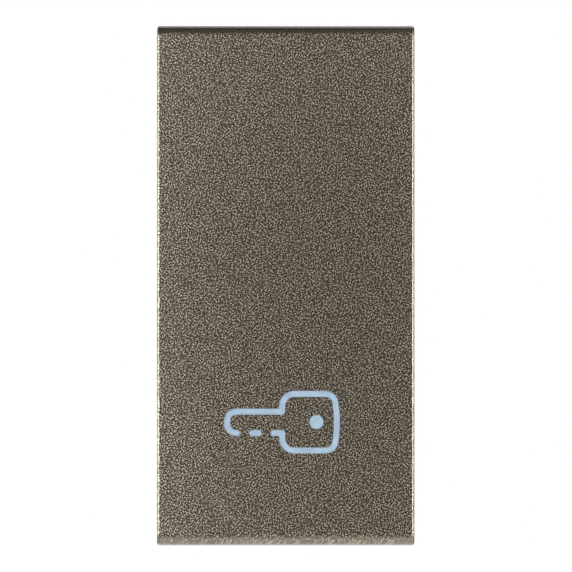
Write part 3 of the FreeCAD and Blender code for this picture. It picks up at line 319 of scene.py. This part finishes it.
PAINTS = {
    "cap_metallic": cap_metallic(),
    "symbol_clear": symbol_clear(),
    "moving_plastic": moulded("moving_plastic", colour(206, 205, 200), 0.45),
    "plunger_plastic": moulded("plunger_plastic", colour(232, 228, 214), 0.35),
    "frame_plastic": moulded("frame_plastic", colour(58, 58, 60), 0.5),
    "pad_rubber": moulded("pad_rubber", colour(40, 40, 42), 0.75, 0.08, 0.01),
    "housing_plastic": moulded("housing_plastic", colour(168, 168, 164), 0.48),
    "insulator_plastic": moulded("insulator_plastic", colour(150, 146, 138), 0.55),
    "contact_brass": sheet_metal("contact_brass", colour(222, 188, 112), 0.28),
    "clamp_steel": sheet_metal("clamp_steel", colour(204, 202, 188), 0.3, (12.0, 1.0, 1.0)),
    "screw_steel": screw_steel(),
    "lever_bronze": sheet_metal("lever_bronze", colour(216, 168, 112), 0.26),
    "silver_contact": sheet_metal("silver_contact", colour(228, 226, 220), 0.2, (4.0, 4.0, 4.0), 0.9),
    "spring_wire": sheet_metal("spring_wire", colour(196, 196, 196), 0.22, (3.0, 3.0, 3.0)),
    "holder_plastic": moulded("holder_plastic", colour(238, 238, 234), 0.42),
    "board_laminate": board_laminate(),
    "led_body": led_body(),
    "resistor_body": banded("series_resistor", colour(120, 168, 192), RESISTOR_BANDS, 0.3),
    "diode_body": banded("rectifier_diode", colour(34, 34, 36), DIODE_BANDS, 0.35),
    "pin_brass": sheet_metal("pin_brass", colour(226, 210, 170), 0.25),
    "guide_clear": guide_clear(),
}


def dress(piece, slot):
    """Give a piece the paint of its slot in the record, and no other."""
    piece.data.materials.clear()
    piece.data.materials.append(PAINTS[slot].material)


for part in frame["record"]["subparts"]:
    dress(frame["nodes"][part["node"]], part["material_slot"])


# Stage: a pale floor under the module, soft lamps and a surround that the camera sees as white.

def make_floor():
    """A pale floor that keeps the shadow, turns white further out and is clear from below."""
    bpy.ops.mesh.primitive_plane_add(size=FLOOR_SIZE, location=(0, 0, CAP_LOW.z - FLOOR_BELOW_CAP))
    floor = bpy.context.object
    floor.name = "floor"
    paint = Paint("floor", 0.7)
    tones = [(0.3, (0.80, 0.80, 0.80, 1.0)), (0.7, (0.86, 0.86, 0.86, 1.0))]
    shade = paint.ramp(paint.noise(90.0, 3.0), tones)
    paint.link(shade, paint.shader.inputs["Base Color"])
    away = paint.node("ShaderNodeVectorMath", operation="LENGTH")
    paint.link(paint.place, away.inputs[0])
    outside = paint.scaled(away.outputs["Value"], *FLOOR_WHITENS, 0.0, 1.0)
    seen = paint.node("ShaderNodeMath", operation="MULTIPLY")
    paint.link(outside, seen.inputs[0])
    paint.link(paint.node("ShaderNodeLightPath").outputs["Is Camera Ray"], seen.inputs[1])
    white = paint.node("ShaderNodeEmission")
    white.inputs["Color"].default_value = (1.0, 1.0, 1.0, 1.0)
    mix = paint.node("ShaderNodeMixShader")
    paint.link(seen.outputs[0], mix.inputs["Fac"])
    paint.link(paint.shader.outputs["BSDF"], mix.inputs[1])
    paint.link(white.outputs["Emission"], mix.inputs[2])
    from_below = paint.node("ShaderNodeMixShader")
    paint.link(paint.node("ShaderNodeNewGeometry").outputs["Backfacing"], from_below.inputs["Fac"])
    paint.link(mix.outputs["Shader"], from_below.inputs[1])
    paint.link(paint.node("ShaderNodeBsdfTransparent").outputs["BSDF"], from_below.inputs[2])
    paint.link(from_below.outputs["Shader"], paint.tree.nodes["Material Output"].inputs["Surface"])
    floor.data.materials.append(paint.material)


def make_world():
    """White to the camera and through glass. As a light it is brighter from below than from above."""
    world = bpy.data.worlds.new("surround")
    bpy.context.scene.world = world
    world.use_nodes = True
    tree = world.node_tree
    lit = tree.nodes["Background"]
    way = tree.nodes.new("ShaderNodeTexCoord")
    split = tree.nodes.new("ShaderNodeSeparateXYZ")
    tree.links.new(way.outputs["Generated"], split.inputs["Vector"])
    fall = tree.nodes.new("ShaderNodeMapRange")
    for name, value in zip(RANGE_SOCKETS, SURROUND_HEIGHTS + SURROUND_STRENGTHS):
        fall.inputs[name].default_value = value
    tree.links.new(split.outputs["Z"], fall.inputs["Value"])
    tree.links.new(fall.outputs["Result"], lit.inputs["Strength"])
    lit.inputs["Color"].default_value = (1.0, 1.0, 1.0, 1.0)
    shown = tree.nodes.new("ShaderNodeBackground")
    shown.inputs["Color"].default_value = (1.0, 1.0, 1.0, 1.0)
    path = tree.nodes.new("ShaderNodeLightPath")
    either = tree.nodes.new("ShaderNodeMath")
    either.operation = "MAXIMUM"
    tree.links.new(path.outputs["Is Camera Ray"], either.inputs[0])
    tree.links.new(path.outputs["Is Transmission Ray"], either.inputs[1])
    mix = tree.nodes.new("ShaderNodeMixShader")
    tree.links.new(either.outputs[0], mix.inputs["Fac"])
    tree.links.new(lit.outputs["Background"], mix.inputs[1])
    tree.links.new(shown.outputs["Background"], mix.inputs[2])
    tree.links.new(mix.outputs["Shader"], tree.nodes["World Output"].inputs["Surface"])


def soft_lamp(name, angles, away, size, power, target):
    """A soft box that the camera doesn't see, turned towards its target."""
    azimuth, height = (math.radians(angle) for angle in angles)
    data = bpy.data.lights.new(name, "AREA")
    data.shape = "RECTANGLE"
    data.size, data.size_y = size
    data.energy = power
    lamp = bpy.data.objects.new(name, data)
    bpy.context.scene.collection.objects.link(lamp)
    way = Vector((
        math.sin(azimuth) * math.cos(height), -math.cos(azimuth) * math.cos(height), math.sin(height),
    ))
    lamp.location = Vector(target) + way * away
    lamp.rotation_euler = way.to_track_quat("Z", "Y").to_euler()
    lamp.visible_camera = False


MIDDLE = (0.0, 0.0, 0.0)
CAP_FOOT = (0.0, 0.0, CAP_LOW.z)
BELOW_CAP = (0.0, 0.0, -0.034)

# Name, azimuth (0 is in front, 90 to the right) and height in degrees as seen from the target, distance,
# width and height of the soft box in metres, power in watts, and the target.
LAMPS = [
    ("side_left", (-68, 0), 0.30, (0.07, 0.08), 1.06, MIDDLE),
    ("side_right", (60, 0), 0.30, (0.06, 0.08), 0.76, MIDDLE),
    ("front_right", (40, 0), 0.30, (0.04, 0.08), 0.11, MIDDLE),
    ("front_left_low", (-12, -8), 0.20, (0.03, 0.02), 0.014, MIDDLE),
    ("front_left_high", (-12, 10), 0.20, (0.03, 0.02), 0.007, MIDDLE),
    ("front_near", (0, 16), 0.14, (0.05, 0.03), 0.005, MIDDLE),
    ("near_left", (-26, 0), 0.060, (0.010, 0.07), 0.019, MIDDLE),
    ("near_right", (52, 0), 0.027, (0.006, 0.07), 0.0075, MIDDLE),
    ("near_low", (0, 0), 0.040, (0.02, 0.006), 0.0005, BELOW_CAP),
    ("front_above", (0, 20), 0.30, (0.30, 0.05), 0.018, MIDDLE),
    ("under", (0, -90), 0.0186, (0.06, 0.06), 0.0175, CAP_FOOT),
    ("behind_above", (160, 55), 0.5, (0.3, 0.3), 0.70, MIDDLE),
    ("behind_left", (-140, 20), 0.5, (0.3, 0.3), 0.45, MIDDLE),
    ("behind", (-165, 10), 0.5, (0.3, 0.3), 0.40, MIDDLE),
]

make_floor()
make_world()
for lamp in LAMPS:
    soft_lamp(*lamp)


# Camera: straight on, far away with a long lens, so that the cap fills the frame as in the photograph.

def make_camera():
    data = bpy.data.cameras.new("camera")
    camera = bpy.data.objects.new("camera", data)
    bpy.context.scene.collection.objects.link(camera)
    front = CAP_LOW.y
    centre_across = (CAP_LOW.x + CAP_HIGH.x) / 2 + (IMAGE / 2 - CAP_MIDDLE_PX[0]) * PIXEL
    centre_up = (CAP_LOW.z + CAP_HIGH.z) / 2 - (IMAGE / 2 - CAP_MIDDLE_PX[1]) * PIXEL
    camera.location = (centre_across, front - CAMERA_AWAY, centre_up)
    camera.rotation_euler = (math.pi / 2, 0, 0)
    data.sensor_width = SENSOR
    data.lens = SENSOR * CAMERA_AWAY / (IMAGE * PIXEL)
    data.clip_start, data.clip_end = CAMERA_SEES
    bpy.context.scene.camera = camera


make_camera()
bpy.context.scene.view_settings.view_transform = "Standard"
